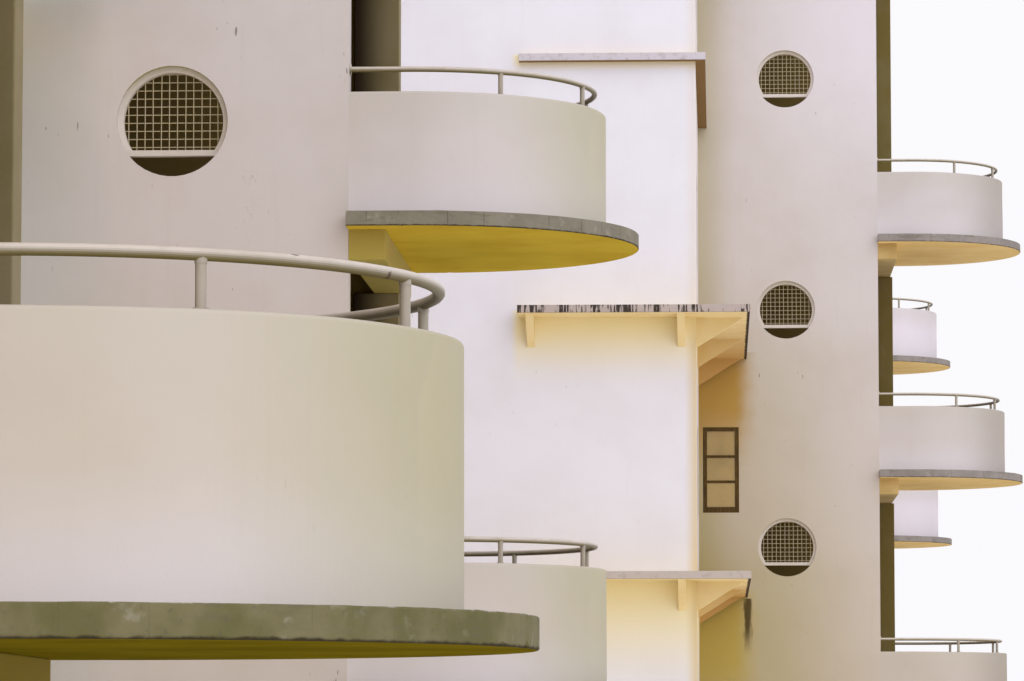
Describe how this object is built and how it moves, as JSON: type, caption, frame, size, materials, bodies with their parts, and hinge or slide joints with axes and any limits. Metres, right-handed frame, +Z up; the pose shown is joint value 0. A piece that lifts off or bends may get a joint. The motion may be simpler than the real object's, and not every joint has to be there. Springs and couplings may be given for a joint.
{
  "type": "apartment block, 1:10 scale model",
  "caption": "Stepped four-storey apartment block with stair towers, half-round balconies, round windows and concrete ledges.",
  "frame": {"origin": "on the ground under the centre of the outline", "axes": "+Z up, +Y along the block from its near range to its far range, +X out of the balcony side"},
  "size_m": [1.82, 8.678, 1.366],
  "materials": {
    "painted_wall": "painted render",
    "tower_wall": "painted render",
    "slab_concrete": "weathered concrete edge",
    "ledge_concrete": "painted concrete",
    "floor_concrete": "trowelled concrete",
    "roof_concrete": "weathered concrete",
    "dark_pier": "dark painted concrete",
    "window_glass": "clear",
    "painted_steel": "satin"
  },
  "bodies": {
    "root": {"back_ledges": "ledge_concrete", "far_back_wall": "painted_wall", "far_balcony_rails": "painted_steel", "far_balcony_slabs": "slab_concrete", "far_end_wall": "painted_wall", "far_first_floor": "floor_concrete", "far_front_ledges": "ledge_concrete", "far_front_wall_1": "painted_wall", "far_front_wall_2": "painted_wall", "far_front_wall_3": "painted_wall", "far_glazing": "window_glass", "far_ground_floor": "floor_concrete", "far_roof": "roof_concrete", "far_second_floor": "floor_concrete", "far_third_floor": "floor_concrete", "near_back_wall": "painted_wall", "near_balcony_rails": "painted_steel", "near_balcony_slabs": "slab_concrete", "near_end_wall": "painted_wall", "near_first_floor": "floor_concrete", "near_front_ledges": "ledge_concrete", "near_front_wall_1": "painted_wall", "near_front_wall_2": "painted_wall", "near_front_wall_3": "painted_wall", "near_glazing": "window_glass", "near_ground_floor": "floor_concrete", "near_roof": "roof_concrete", "near_second_floor": "floor_concrete", "near_third_floor": "floor_concrete", "party_wall": "painted_wall", "porthole_rims": "painted_steel", "step_wall": "painted_wall", "tower_1_parapets": "tower_wall", "tower_1_walls": "tower_wall", "tower_2_parapets": "tower_wall", "tower_2_walls": "tower_wall", "tower_3_parapets": "tower_wall", "tower_3_walls": "tower_wall", "tower_4_parapets": "tower_wall", "tower_4_walls": "tower_wall", "tower_bases": "floor_concrete", "tower_lintels": "ledge_concrete", "tower_piers": "dark_pier", "tower_roofs": "roof_concrete"}
  },
  "joints": []
}
